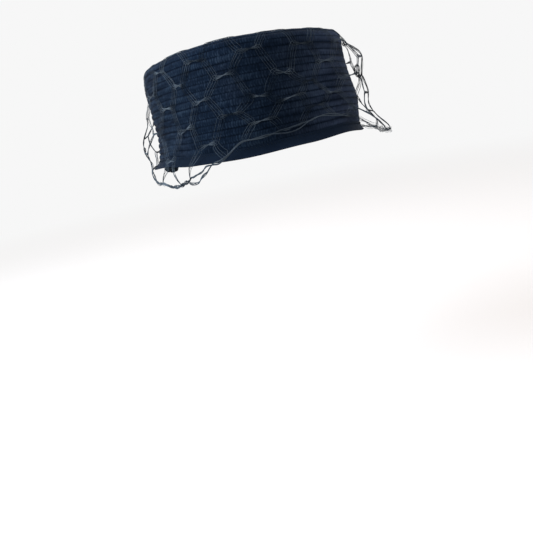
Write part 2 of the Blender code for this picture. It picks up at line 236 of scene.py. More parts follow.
def makeCamera():
    azimuth, elevation, roll = (math.radians(photoView[name]) for name in ("azimuth", "elevation", "roll"))
    back = Vector((math.sin(azimuth), -math.cos(azimuth), 0)) * math.cos(elevation)
    back.z = math.sin(elevation)
    levelRight = (-back).cross(Vector((0, 0, 1))).normalized()
    levelUp = levelRight.cross(-back)
    right = math.cos(roll) * levelRight + math.sin(roll) * levelUp
    up = math.cos(roll) * levelUp - math.sin(roll) * levelRight
    middle = photoView["imageSide"] / 2
    across, down = photoView["hatPixel"]
    aim = Vector((across - middle, middle - down, photoView["focalPixels"])).normalized()
    turned = Matrix((right, up, -back)).transposed() @ aim.rotation_difference(Vector((0, 0, 1))).to_matrix()
    turned.col[2] = -turned.col[2]  # a camera looks along its own -Z
    data = bpy.data.cameras.new("photoCamera")
    data.sensor_width = photoView["sensor"]
    data.lens = photoView["focalPixels"] / photoView["imageSide"] * photoView["sensor"]
    data.clip_start = 0.01
    camera = bpy.data.objects.new("photoCamera", data)
    bpy.context.scene.collection.objects.link(camera)
    stand = Vector((0, 0, crown["height"] / 2)) + back * photoView["distance"]
    camera.matrix_world = Matrix.Translation(stand) @ turned.to_4x4()
    bpy.context.scene.camera = camera


makeCamera()
print("camera set")


# Materials, all from nodes, on the piece's UV map or its own coordinates.
def startMaterial(name):
    material = bpy.data.materials.new(name)
    material.use_nodes = True
    return material, material.node_tree, material.node_tree.nodes["Principled BSDF"]


def addNode(tree, kind, inputs, **settings):
    made = tree.nodes.new("ShaderNode" + kind)
    for key, value in settings.items():
        setattr(made, key, value)
    for key, value in inputs.items():
        if isinstance(value, bpy.types.NodeSocket):
            tree.links.new(value, made.inputs[key])
        else:
            made.inputs[key].default_value = value
    return made


def calc(tree, operation, first, second=0.0, third=0.0):
    return addNode(tree, "Math", {0: first, 1: second, 2: third}, operation=operation).outputs[0]


def addShare(tree, base, part, share):  # base + part * share
    return calc(tree, "MULTIPLY_ADD", part, share, base)


def remap(tree, value, start, end, low=0.0, high=1.0, ease="LINEAR"):
    limits = {"Value": value, "From Min": start, "From Max": end, "To Min": low, "To Max": high}
    return addNode(tree, "MapRange", limits, interpolation_type=ease).outputs["Result"]


def blendColours(tree, share, first, second):
    return addNode(tree, "Mix", {0: share, 6: first, 7: second}, data_type="RGBA").outputs[2]


def axes(tree, vector):
    return addNode(tree, "SeparateXYZ", {"Vector": vector}).outputs


def uvPlace(tree):  # along the piece and across it
    return axes(tree, addNode(tree, "UVMap", {}, uv_map="UVMap").outputs["UV"])[:2]


def ownPlace(tree, stretch=(1, 1, 1)):
    place = addNode(tree, "TexCoord", {}).outputs["Object"]
    return addNode(tree, "Mapping", {"Vector": place, "Scale": stretch}).outputs["Vector"]


# A grain is a noise: how often it changes in a metre along X, Y and Z, its detail, and how much it counts.
def noise(tree, grain):
    place = ownPlace(tree, grain[:3])
    return addNode(tree, "TexNoise", {"Vector": place, "Scale": 1.0, "Detail": grain[3]}).outputs["Fac"]


def centred(tree, value):
    return calc(tree, "SUBTRACT", value, 0.5)


def follow(tree, tone, grain):  # the tone with a noise added, and the noise
    value = noise(tree, grain)
    return addShare(tree, tone, centred(tree, value), grain[4]), value


def colour(red, green, blue):
    return (red, green, blue, 1.0)


def scaleAlong(tree, shade, part, change):  # where the change starts and ends, and its factor
    start, end, factor = change
    amount = remap(tree, part, start, end, 1.0, factor, "SMOOTHSTEP")
    return addNode(tree, "VectorMath", {0: shade, "Scale": amount}, operation="SCALE").outputs["Vector"]


coldShine = colour(0.45, 0.65, 1.0)  # the tint of every cloth's gloss


def finishCloth(tree, shader, look, shade, roughness, height):
    tree.links.new(shade, shader.inputs["Base Color"])
    tree.links.new(roughness, shader.inputs["Roughness"])
    strength, depth = look["bump"]
    bump = addNode(tree, "Bump", {"Height": height, "Strength": strength, "Distance": depth})
    tree.links.new(bump.outputs["Normal"], shader.inputs["Normal"])
    for name, value in zip(("Sheen Weight", "Sheen Roughness", "Specular IOR Level"), look["gloss"]):
        shader.inputs[name].default_value = value
    for name in ("Sheen Tint", "Specular Tint"):
        shader.inputs[name].default_value = coldShine


braidLook = {
    "dark": colour(0.0010, 0.0026, 0.0066),
    "mid": colour(0.0038, 0.0088, 0.0200),
    "light": colour(0.0185, 0.0315, 0.0530),
    "stops": (0.05, 0.5, 0.95),  # the tones of these three
    "frontTint": colour(0.0182, 0.0238, 0.0415),  # the front, and patches elsewhere, are a little purple
    "chevron": 0.42,  # how far a rib slants from a row's middle to its edge, in ribs
    "wobble": 0.9,  # of the ribs, in ribs
    "uneven": (160, 160, 190, 2),
    "ribs": 0.30,  # how much the ribs count
    "threadsARib": 4,
    "threads": 0.16,  # and the threads in them
    "ticks": 0.25,  # the ribs' contrast on a row's crest
    "edgeTicks": 0.45,  # and how much more it is by the grooves
    "tone": 0.30,
    "broad": (22, 22, 22, 3, 0.70),
    "rows": (26, 26, 190, 2, 0.75),
    "fine": (700, 700, 260, 3, 1.15),
    "paintedStreaks": (60, 60, 480, 2),
    # Where, along Y, each starts and ends, and its values there.
    "paintedBackLight": (0.03, 0.085, 0.3, 2.0),  # painted highlight: pale streaks on the rows grow stronger to the back, where the main lamp falls
    "frontRange": (-0.042, -0.095, 0.0, 0.72),  # the tint fades in to the front
    "patches": (17, 17, 17, 2),
    "patchRange": (0.52, 0.74, 0.0, 0.60),  # of that noise
    "crestWidth": 0.33,  # of a row's paler middle, squared: a painted highlight on its crest
    "backCrest": 0.16,  # how much paler it is round the back, painted light where the main lamp falls
    "frontCrest": 1.15,  # and this much in front, painted light too
    "frontRows": 1.3,  # how much the rows' own tones count there
    "frontShare": 0.85,  # and the tone that they have elsewhere
    "frontTone": -0.02,
    # Painted shade and light: where each starts and ends, and by what factor it scales the tone.
    "paintedFrontShade": (0.005, -0.052, 0.60),  # painted shade along Y, darkest where the side turns to the front
    "lift": (-0.062, -0.104, 2.5),  # painted light, paler again past it
    "crest": (0.070, 0.088, 1.3),  # painted light along Z, paler by the top edge
    "roughness": 0.52,
    "gloss": (0.02, 0.4, 0.04),  # sheen, its roughness, specular
    "bump": (0.45, 0.00022),  # strength and depth
}


def braidMaterial():
    look = braidLook
    material, tree, shader = startMaterial("navyBraid")
    along, across = uvPlace(tree)  # counted in ribs, and from -1 to 1 over the row
    away = calc(tree, "ABSOLUTE", across)
    slant = addShare(tree, along, away, look["chevron"])
    slant = addShare(tree, slant, noise(tree, look["uneven"]), look["wobble"])
    rib = calc(tree, "SINE", calc(tree, "MULTIPLY", slant, 2 * math.pi))
    thread = calc(tree, "MULTIPLY", calc(tree, "SUBTRACT", along, across), look["threadsARib"] * 2 * math.pi)
    weave = addShare(tree, 0.5, rib, look["ribs"])
    weave = addShare(tree, weave, calc(tree, "SINE", thread), look["threads"])
    ticks = addShare(tree, look["ticks"], away, look["edgeTicks"])
    # Painted shade: the tone falls away towards a row's edges, into the grooves.
    crest = calc(tree, "SUBTRACT", 1, calc(tree, "POWER", away, 4.0))
    tone = calc(tree, "MULTIPLY", crest, addShare(tree, look["tone"], weave, ticks))
    tone, broad = follow(tree, tone, look["broad"])
    tone, rows = follow(tree, tone, look["rows"])
    tone, fine = follow(tree, tone, look["fine"])
    place = axes(tree, ownPlace(tree))
    # Painted light round the back: pale streaks on the rows, and paler crests below.
    behind = remap(tree, place["Y"], *look["paintedBackLight"])
    tone = addShare(tree, tone, centred(tree, noise(tree, look["paintedStreaks"])), behind)
    # A row's paler middle, a painted highlight on its crest, stronger round the back and in front.
    paintedCrestLight = calc(tree, "SUBTRACT", look["crestWidth"], calc(tree, "POWER", away, 2.0))
    tone = addShare(tree, tone, paintedCrestLight, calc(tree, "MULTIPLY", behind, look["backCrest"]))
    ramp = addNode(tree, "ValToRGB", {"Fac": tone})
    ramp.color_ramp.elements.new(look["stops"][1])
    for stop, position, name in zip(ramp.color_ramp.elements, look["stops"], ("dark", "mid", "light")):
        stop.position, stop.color = position, look[name]
    front = addShare(tree, look["frontTone"], centred(tree, rows), look["frontRows"])
    front = addShare(tree, front, tone, look["frontShare"])
    front = addShare(tree, front, paintedCrestLight, look["frontCrest"])
    front = blendColours(tree, front, look["dark"], look["frontTint"])
    span = remap(tree, place["Y"], *look["frontRange"])
    patch = remap(tree, noise(tree, look["patches"]), *look["patchRange"])
    shade = blendColours(tree, calc(tree, "MAXIMUM", span, patch), ramp.outputs["Color"], front)
    # Painted shade where the side turns to the front, painted light past it and by the top edge.
    for axis, change in (("Y", "paintedFrontShade"), ("Y", "lift"), ("Z", "crest")):
        shade = scaleAlong(tree, shade, place[axis], look[change])
    roughness = addShare(tree, look["roughness"], broad, 0.3)
    height = addShare(tree, calc(tree, "MULTIPLY", weave, 0.7), fine, 0.5)
    finishCloth(tree, shader, look, shade, roughness, height)
    return material


bindingLook = {
    "dark": colour(0.0015, 0.0032, 0.0076),
    "light": colour(0.0090, 0.0170, 0.0330),
    "worn": colour(0.0150, 0.0230, 0.0380),
    "lift": (-0.03, 0.05, 1.35),  # painted light along Y: it is paler round the back, where the main lamp falls
    "twill": 900.0,  # ridges a metre
    "twillShare": 0.12,
    "broad": (30, 30, 30, 3),
    "broadShare": 0.7,
    "fine": (1200, 1200, 1200, 2, 0.3),
    "rubbed": (0.0018, 0.0, 0.0, 0.6),  # from this height down to the rim, and how worn it is there
    "rubbedOver": 0.55,  # where the fine grain is above this
    "roughness": 0.5,
    "gloss": (0.015, 0.5, 0.03),
    "bump": (0.35, 0.00012),
}


def bindingMaterial():
    look = bindingLook
    material, tree, shader = startMaterial("navyBinding")
    along, up = uvPlace(tree)  # both in metres
    slant = calc(tree, "MULTIPLY", calc(tree, "ADD", along, up), 2 * math.pi * look["twill"])
    twill = calc(tree, "SINE", slant)
    broad = noise(tree, look["broad"])
    tone = addShare(tree, calc(tree, "MULTIPLY", broad, look["broadShare"]), twill, look["twillShare"])
    tone, fine = follow(tree, tone, look["fine"])
    shade = blendColours(tree, tone, look["dark"], look["light"])
    # Painted light: the binding is paler round the back.
    shade = scaleAlong(tree, shade, axes(tree, ownPlace(tree))["Y"], look["lift"])
    worn = calc(tree, "GREATER_THAN", fine, look["rubbedOver"])
    worn = calc(tree, "MULTIPLY", remap(tree, up, *look["rubbed"]), worn)
    shade = blendColours(tree, worn, shade, look["worn"])
    roughness = addShare(tree, look["roughness"], broad, 0.25)
    finishCloth(tree, shader, look, shade, roughness, addShare(tree, fine, twill, 0.4))
    return material


threadLook = {
    "dark": colour(0.0030, 0.0055, 0.0090),
    "light": colour(0.0660, 0.0830, 0.1020),
    "front": (0.050, -0.020),  # between these, along Y, the threads go over to their share at the front
    "patchEdge": 0.26,  # from a dark patch to a pale one
    "fine": (1500, 1500, 1500, 2),
    "fineShare": 0.35,
    "fineMiddle": 0.18,
    "roughness": 0.45,
    "gloss": (0.0, 0.5, 0.10),
    "bump": (0.3, 0.00006),
}
# Brightness, its share at the front, patches a metre, the noise up to which they are dark, and how
# much paler the threads are on the level bars, a painted highlight carried by a point attribute.
threadKinds = {
    "veilThread": (1.85, 0.50, 75, 0.36, 0.28),
    "borderThread": (1.6, 0.36, 40, 0.28, 0.0),
    "knotThread": (0.16, 1.0, 75, 0.40, 0.0),
}


def threadMaterial(name):
    look = threadLook
    brightness, frontShare, patches, darkUpTo, paintedShineShare = threadKinds[name]
    material, tree, shader = startMaterial(name)
    fine = noise(tree, look["fine"])
    tone = remap(tree, noise(tree, (patches, patches, patches, 3)), darkUpTo, darkUpTo + look["patchEdge"])
    tone = calc(tree, "SUBTRACT", addShare(tree, tone, fine, look["fineShare"]), look["fineMiddle"])
    # Painted highlight: the threads are paler on the level bars.
    paintedShine = addNode(tree, "Attribute", {}, attribute_name="paintedShine").outputs["Fac"]
    tone = calc(tree, "MULTIPLY", tone, addShare(tree, 1 - paintedShineShare, paintedShine, paintedShineShare))
    dimmed = remap(tree, axes(tree, ownPlace(tree))["Y"], *look["front"], 1.0, frontShare)
    light = colour(*(part * brightness for part in look["light"][:3]))
    shade = blendColours(tree, calc(tree, "MULTIPLY", tone, dimmed), look["dark"], light)
    finishCloth(tree, shader, look, shade, addShare(tree, look["roughness"], fine, 0.15), fine)
    return material


navyBraid = braidMaterial()
navyBinding = bindingMaterial()
veilThread, borderThread, knotThread = (threadMaterial(name) for name in threadKinds)
print("materials made")


def readPoints(mesh):
    points = np.zeros(len(mesh.vertices) * 3)
    mesh.vertices.foreach_get("co", points)
    return points.reshape(-1, 3)


def finishMesh(mesh, placed, weld=None):
    mesh.vertices.foreach_set("co", placed.astype(np.float32).ravel())
    mesh.update()
    bpy.ops.object.mode_set(mode="EDIT")
    bpy.ops.mesh.select_all(action="SELECT")
    if weld:
        bpy.ops.mesh.remove_doubles(threshold=weld)
    bpy.ops.mesh.normals_make_consistent(inside=False)
    bpy.ops.object.mode_set(mode="OBJECT")
    bpy.ops.object.shade_smooth()


# Pieces that run round the oval start as a grid, which is wrapped round it point by point and welded.
def ringPiece(name, around, sections, uvs):
    count = len(sections)
    bpy.ops.object.select_all(action="DESELECT")
    bpy.ops.mesh.primitive_grid_add(x_subdivisions=around, y_subdivisions=count, size=1)
    piece = bpy.context.object
    piece.name = piece.data.name = name
    mesh = piece.data
    points = readPoints(mesh)
    step = np.rint((points[:, 0] + 0.5) * around).astype(int)
    line = np.rint((points[:, 1] + 0.5) * count).astype(int)
    corners = np.zeros(len(mesh.loops), np.int32)
    mesh.loops.foreach_get("vertex_index", corners)
    corners = corners.reshape(-1, 4)
    mesh.uv_layers[0].name = "UVMap"
    mesh.uv_layers[0].data.foreach_set("uv", uvs(step[corners], line[corners]).astype(np.float32).ravel())
    finishMesh(mesh, np.stack(sections, 1)[step % around, line % count], weld=0.00002)
    return piece


def threadPiece(name, lines, radius, closed=False, swell=None, paintedShine=None):  # round threads along lines
    data = bpy.data.curves.new(name, "CURVE")
    data.dimensions = "3D"
    data.bevel_depth = radius
    data.bevel_resolution = 0
    data.use_fill_caps = True
    for index, line in enumerate(lines):
        spline = data.splines.new("POLY")
        spline.points.add(len(line) - 1)
        placed = np.column_stack((line, np.ones(len(line))))
        spline.points.foreach_set("co", placed.astype(np.float32).ravel())
        spline.use_cyclic_u = closed
        if swell:
            spline.points.foreach_set("radius", swell[index].astype(np.float32))
    piece = bpy.data.objects.new(name, data)
    bpy.context.scene.collection.objects.link(piece)
    bpy.ops.object.select_all(action="DESELECT")
    piece.select_set(True)
    bpy.context.view_layer.objects.active = piece
    bpy.ops.object.convert(target="MESH")
    piece = bpy.context.object
    piece.data.name = name
    # The painted highlight of the level bars goes on as a point attribute.
    if paintedShine:
        shares = np.repeat(np.concatenate(paintedShine), 4)  # a thread has four sides
        ends = np.ones(len(piece.data.vertices) - len(shares))  # the vertices of the end faces come first
        marks = piece.data.attributes.new("paintedShine", "FLOAT", "POINT")
        marks.data.foreach_set("value", np.concatenate((ends, shares)).astype(np.float32))
    bpy.ops.object.shade_smooth()
    return piece


def dress(piece, material, slot, *nodes):  # with no nodes it replaces the slot's
    nodes = nodes or [slot]
    piece.data.materials.clear()
    piece.data.materials.append(material)
    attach(piece, "root")
    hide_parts(*nodes)


def turnsAround(count):
    return 360.0 * np.arange(count) / count


def turnAt(column):
    return 360 * column / net["columns"]


# Rows of braid.
braidRows = {
    "around": 1092,
    "ribs": 273,
    "ribDepth": 0.00011,
    "ribShift": 0.5,  # from a row to the next, in ribs
    "wear": 0.45,  # how much the ribs' height varies
    "bulge": 0.00012,
    "backTurn": 160,  # round here the rows have gone lumpy
    "backReach": 42,
    "backGrooves": 3.2,  # how much deeper the grooves are there
    "backBulge": 0.00022,  # and how much more the rows bulge
    "sideRows": 15,  # the rest belong to the top
    "wander": 0.00022,
    "overlap": 1.16,  # width of a row over the pitch
    # Across the row from its crest: up the front, down the back, and up the front again, as
    # shares of the half width and of the wall.
    "section": [
        (0.10, 0.00), (0.52, 0.02), (0.84, 0.11), (1.00, 0.45), (0.72, 0.90), (0.0, 1.0),
        (-0.72, 0.90), (-1.00, 0.50), (-0.88, 0.15), (-0.62, 0.035), (-0.24, 0.005),
    ],
}


def braidRow(row):
    turn = turnsAround(braidRows["around"])
    pitch = wholePath / crown["rows"]
    middle = (row + 0.5) * pitch
    drift = ripple(turn, 40 + row, (3, 5, 9, 14), braidRows["wander"])
    nearBack = np.exp(-((turn - braidRows["backTurn"]) / braidRows["backReach"]) ** 2)
    lumps = ripple(turn, 90 + row, (4, 7, 13, 22, 41, 67), 1.0)
    bulge = lumps * (braidRows["bulge"] + braidRows["backBulge"] * nearBack)
    ribCount = braidRows["ribs"] * turn / 360 + row * braidRows["ribShift"]
    worn = np.sin(np.radians(turn * 11 + row * 47)) * np.sin(np.radians(turn * 5 + row * 23))
    worn = 1 + braidRows["wear"] * worn
    back = nearBack * braidRows["backGrooves"]
    sections = []
    for across, share in braidRows["section"]:
        depth = np.minimum(share * (1 + back), 1) if share < 0.3 else share
        path = middle + drift + across * pitch / 2 * braidRows["overlap"]
        rib = np.cos(2 * math.pi * (ribCount + braidLook["chevron"] * abs(across)))
        raised = braidRows["ribDepth"] * worn * rib * (1 - depth) * (1 - 0.5 * abs(across))
        inward = depth * crown["wall"] - raised - bulge * (1 - depth)
        sections.append(shell(turn, path, inward))
    lines = np.array([across for across, depth in braidRows["section"] + braidRows["section"][:1]])
    ribShare = braidRows["ribs"] / braidRows["around"]
    piece = ringPiece(
        f"braidRow{row + 1:02d}", braidRows["around"], sections,
        lambda step, line: np.stack((step * ribShare + row * braidRows["ribShift"], lines[line]), -1),
    )
    node = "side_band" if row < braidRows["sideRows"] else "crown_tip"
    dress(piece, navyBraid, node)


for row in range(crown["rows"]):
    braidRow(row)
print("rows of braid made")


# The flat top: ovals of the same braid, laid flatter.
crownTop = {
    "around": 546,
    "rows": 13,
    "relief": 0.00065,
    "ribDepth": 0.00008,
    "wander": 0.00012,
    "tuck": 0.0006,  # how far it runs in under the side's return
    "lines": 7,  # to a row
    "middle": 0.9995,  # the share of the way in where it is closed
}


def makeCrownTop():
    turn = turnsAround(crownTop["around"])
    inset = crown["edgeRadius"] + crown["topReturn"] - crownTop["tuck"]
    reach = crown["width"] / 2
    edge = oval(turn, sideOut(turn, edgeShare) - inset, 0)
    count = crownTop["rows"] * crownTop["lines"]

    def ring(share, lift):  # one line of points, this share of the way in
        height = topHeight(turn, inset + (reach - inset) * share) + lift
        return np.stack((edge[:, 0] * (1 - share), edge[:, 1] * (1 - share), height), -1)

    def ribsIn(row):
        return np.round(braidRows["ribs"] * (1 - (row + 0.5) / crownTop["rows"]))

    lines = np.arange(count + 1)
    rowOf = np.minimum(lines // crownTop["lines"], crownTop["rows"] - 1)
    acrossOf = 2 * (lines % crownTop["lines"]) / crownTop["lines"] - 1
    sections = []
    for line, row, across in zip(lines, rowOf, acrossOf):
        share = min(line / count, crownTop["middle"])
        rib = np.cos(np.radians(turn) * ribsIn(row) + 2 * math.pi * braidLook["chevron"] * abs(across))
        lift = crownTop["ribDepth"] * rib * (1 - abs(across)) - crownTop["relief"] * abs(across) ** 2.2
        lift = lift + ripple(turn, 200 + row, (3, 5, 8), crownTop["wander"]) * (1 - share)
        sections.append(ring(share, lift))
    under = (crownTop["middle"], 0.75, 0.5, 0.25, 0.0)  # the under side, back out
    sections += [ring(share, -crown["tipThickness"]) for share in under]
    rowOf, acrossOf = np.pad(rowOf, (0, len(under))), np.pad(acrossOf, (0, len(under)))

    def uvs(step, line):
        line = line % len(rowOf)
        row = rowOf[line].min(1, keepdims=True)
        across = acrossOf[line]
        nextRow = (rowOf[line] > row) | ((across <= -1) & (line == count))
        return np.stack((step / crownTop["around"] * ribsIn(row), np.where(nextRow, 1.0, across)), -1)

    piece = ringPiece("crownTop", crownTop["around"], sections, uvs)
    dress(piece, navyBraid, "crown_tip")


makeCrownTop()
print("top made")


# The bound edge: a smooth folded strip that turns out to the rim.
binding = {
    "around": 720,
    "tuck": 0.0012,  # how far it runs in and up behind the first row
    "setBack": 0.0002,  # of its face from the wall's
    "pucker": 0.00018,
    "rimPucker": 1.2,  # it puckers this much more at the rim
    # Heights of the section as shares of the binding, then the wall shares of the rounded foot.
    "heights": [1.0, 0.86, 0.72, 0.58, 0.45, 0.33, 0.22, 0.13],
    "foot": [(0.06, 0.06), (0.22, 0.015), (0.5, 0.0), (0.78, 0.015), (0.94, 0.06)],
}


def makeBinding():
    turn = turnsAround(binding["around"])
    pucker = ripple(turn, 7, (6, 11, 23, 41), binding["pucker"])
    height, wall = crown["bindingHeight"], crown["wall"]
    tuckShare = binding["tuck"] / crown["height"]
    outer, inner = [], []
    for step in binding["heights"]:
        share = bindingShare * step
        out = sideOut(turn, share) + flare(turn, share, height) + pucker * (binding["rimPucker"] - step)
        outer.append(oval(turn, out - binding["setBack"], level(turn, share)))
        inner.append(oval(turn, out - wall, level(turn, share)))
    behind = sideOut(turn, bindingShare) - binding["tuck"]
    outer.insert(0, oval(turn, behind, level(turn, bindingShare + tuckShare)))
    foot = []
    for into, up in binding["foot"]:
        out = sideOut(turn, 0) + flare(turn, 0, height) + pucker * binding["rimPucker"] - wall * into
        foot.append(oval(turn, out, level(turn, bindingShare * up)))
    sections = outer + foot + inner[::-1]
    heights = [height + binding["tuck"]] + [height * step for step in binding["heights"]]
    ups = np.array(heights + [height * up * 0.3 for _, up in binding["foot"]] + heights[:0:-1])

    def uvs(step, line):
        return np.stack((step / binding["around"] * perimeter, ups[line % len(ups)]), -1)

    piece = ringPiece("rimBinding", binding["around"], sections, uvs)
    dress(piece, navyBinding, "rim_binding")


makeBinding()
print("binding made")


# The small slanted stitches that hold the binding under the first row.
stitches = {
    "count": 200,
    "upper": 0.0073,  # their ends above the rim
    "lower": 0.0058,
    "slant": 0.0009,
    "radius": 0.00017,
    "points": 7,
    "bow": 0.0003,  # how far the middle stands off
    "sink": 0.0002,  # and the ends go in
    "strayTurn": 0.2,
    "strayHeight": 0.0001,
}


def makeStitches():
    chance = np.random.default_rng(58)
    share = np.linspace(0, 1, stitches["points"])
    lines = []
    astray = chance.uniform(-stitches["strayTurn"], stitches["strayTurn"], stitches["count"])
    for turn in turnsAround(stitches["count"]) + astray:
        turns = turn + (share - 0.5) * stitches["slant"] * chance.uniform(0.6, 1.5) * 360 / perimeter
        height = stitches["lower"] + (stitches["upper"] - stitches["lower"]) * share
        height = height + chance.uniform(-stitches["strayHeight"], stitches["strayHeight"])
        height = height / crown["height"]
        bow = stitches["bow"] * np.sin(math.pi * share) - stitches["sink"]
        out = sideOut(turns, height) + flare(turns, height, crown["bindingHeight"]) + bow
        lines.append(oval(turns, out, level(turns, height)))
    piece = threadPiece("bindingStitches", lines, stitches["radius"])
    dress(piece, knotThread, "rim_binding")


makeStitches()
print("stitches made")


# The veil. A place on it is a column, counted round the crown, and a half row, counted down from the top.
netEdge = (crown["edgeRadius"] + net["clearance"]) * math.pi / 2
netDrop = crown["height"] * edgeShare - net["foot"]
netPath = net["topVeil"] + netEdge + netDrop
netPitch = perimeter / net["columns"]
netRise = netPath / net["halfRows"]


def standOff(turn, halfRow):
    marks = net["offMarks"]
    value = np.zeros(np.shape(turn))
    for name, start, end in zip(offColumns, marks, marks[1:]):
        share = rise(halfRow, start, end - start)
        reached = value + (eased(falls, fallColumns, name, turn) - value) * share
        value = np.where(halfRow > start, reached, value)
    return value * crown["height"]


def netPoint(column, halfRow, lift):
    column, halfRow, lift = np.broadcast_arrays(np.asarray(column, float), halfRow, lift)
    turn = turnAt(column)
    path = netPath * halfRow / net["halfRows"]
    radius = crown["edgeRadius"]
    inset = radius + np.maximum(net["topVeil"] - path, 0)
    onTop = oval(turn, sideOut(turn, edgeShare) - inset, topHeight(turn, inset) + net["clearance"] + lift)
    share = edgeShare - np.maximum(path - net["topVeil"] - netEdge, 0) / crown["height"]
    fade = np.clip((halfRow - 2) / 1.5, 0, 1)  # no pulls on the top
    up = bells(pulls, 3, turn, share) * fade
    turn = turn + bells(pulls, 2, turn, share) * fade
    rim = sideOut(turn, edgeShare)
    top = topHeight(turn, radius)
    out = standOff(turn, halfRow)
    angle = np.clip((path - net["topVeil"]) / (radius + net["clearance"]), 0, math.pi / 2)
    reach = radius + net["clearance"] + lift
    onEdge = oval(turn, rim - radius + reach * np.sin(angle) + out, top - radius + reach * np.cos(angle))
    share = share + up
    foot = eased(falls, fallColumns, "foot", turn) - net["foot"] / crown["height"]
    share = share + foot * np.clip((halfRow - 5) / 3, 0, 1.1) ** 1.3
    out = out + sideOut(turn, share) + flare(turn, share, crown["bindingHeight"] * 2.8)
    out = out + net["clearance"] + lift
    drop = (top - radius - level(turn, edgeShare)) * np.clip(share, 0, 1) / edgeShare
    onSide = oval(turn, out, level(turn, share) + drop)
    pastEdge = np.where((path < net["topVeil"] + netEdge)[..., None], onEdge, onSide)
    return np.where((path < net["topVeil"])[..., None], onTop, pastEdge)


veil = {
    "threads": 4,  # to a strand
    "threadRadius": 0.00014,
    "legSpread": 0.0028,  # half the width of a strand between two bars
    "barSpread": 0.0011,  # and where two strands run together
    "fineStep": 0.0003,  # of the path whose corners are rounded
    "step": 0.0012,  # between two points of a thread
    "corner": 0.0015,  # how far a corner is rounded
    "crossings": 9,  # of a strand's threads, all in its level sides
    "wobble": 0.00017,
    "wobbleWaves": (160, 410),  # radians a metre
    "weave": 0.00016,  # how far crossing threads pass over each other
    "stray": 0.0007,  # and how far loose ones wander off the net
    "cordRadius": 0.00038,  # of a strand that has twisted up where the net hangs free
    "cordSwell": 0.9,  # its threads bulk up by this share
    "cordOff": 0.0005,
    "cordTwist": (450, 700),  # radians a metre
    "cordChance": 0.8,  # that a strand has twisted up
    "cordShare": (0.85, 0.97),  # this far
    "loneShare": 0.3,  # and else this far
    "sink": 0.00022,  # how far the threads bed into the braid on the round edge
    # The net hangs free where it is this far off the crown, or this low: start and reach of each.
    "looseOff": (0.0018, 0.006),
    "looseRows": (7.0, 0.8),
    "looseBelow": (0, 0.06),
    "tangle": 0.035,  # how far the net's places wander, in columns and half rows
    "looseTangle": 0.030,
    "offTangle": 0.0007,
    "seed": 11,
    "gatherTurn": 121,  # the knot under the rim draws the strands together here
    "gatherRow": 7.4,
    "gatherReach": 13,  # in degrees
    "gatherRows": 0.45,  # and in half rows
    "gatherPull": 0.85,  # in columns
    "caught": 0.75,  # how much the border draws a strand's ends together
    "caughtRows": (7.8, 0.2),
    "gauzeTurn": 17,  # inside the front loops the strands are spread, not twisted up
    "gauzeReach": 9,
    "gauzeShare": 0.75,
}


def looseness(turn, halfRow):  # 0 where the net lies on the crown, 1 where it hangs free
    off = standOff(turn, halfRow)
    below = -eased(falls, fallColumns, "foot", turn)
    hanging = rise(halfRow, *veil["looseRows"]) * rise(below, *veil["looseBelow"])
    return np.maximum(rise(off, *veil["looseOff"]), hanging)


def tangle(turn, halfRow):  # a wander of the net's places, more of it where it hangs free
    loose = looseness(turn, halfRow)
    angle = np.radians(turn)
    aside = np.sin(11 * angle + 1.6 * halfRow) + np.sin(19 * angle - 2.3 * halfRow + 1.0)
    down = np.sin(9 * angle - 1.9 * halfRow + 0.5) + np.sin(21 * angle + 1.4 * halfRow + 2.0)
    off = veil["offTangle"] * loose * np.sin(17 * angle + 2.6 * halfRow)
    amount = veil["tangle"] + veil["looseTangle"] * loose
    amount = amount * smooth(halfRow / 2) * (1 - 0.85 * smooth(halfRow - 7))
    away = fromTurn(turn, veil["gatherTurn"]) / veil["gatherReach"]
    pinch = np.exp(-away * away - ((halfRow - veil["gatherRow"]) / veil["gatherRows"]) ** 2)
    return amount * aside - veil["gatherPull"] * away * pinch, amount * down, off


def strandPath():  # the middle of a strand that steps down to the right, in columns and half rows
    points = []
    for row in range(net["halfRows"] + 1):
        points += [(row - net["halfBar"], row), (row + net["halfBar"], row)]
    points = np.array(points) * (netPitch, netRise)
    marks = np.concatenate(([0], np.cumsum(np.linalg.norm(np.diff(points, axis=0), axis=1))))
    fine = np.arange(0, marks[-1], veil["fineStep"])
    x, y = np.interp(fine, marks, points[:, 0]), np.interp(fine, marks, points[:, 1])
    inLeg = (np.searchsorted(marks, fine, side="right") - 1) % 2 == 1
    spread = np.where(inLeg, veil["legSpread"], veil["barSpread"])
    twist = np.where(inLeg, 0.0, 1.0)
    pad = round(veil["corner"] / veil["fineStep"])
    window = np.ones(pad) / pad

    def soften(values):
        start = 2 * values[0] - values[pad:0:-1]
        end = 2 * values[-1] - values[-2:-pad - 2:-1]
        return np.convolve(np.concatenate((start, values, end)), window, "same")[pad:-pad]

    x, y, spread, twist = soften(soften(x)), soften(soften(y)), soften(soften(spread)), soften(twist)
    keep = slice(0, None, round(veil["step"] / veil["fineStep"]))
    aside = np.stack((np.gradient(y), -np.gradient(x)), -1)
    aside /= np.linalg.norm(aside, axis=1, keepdims=True)
    turned = np.cumsum(twist)[keep]
    turned = turned / turned[-1] * veil["crossings"]
    return x[keep] / netPitch, y[keep] / netRise, spread[keep], twist[keep], turned, aside[keep]


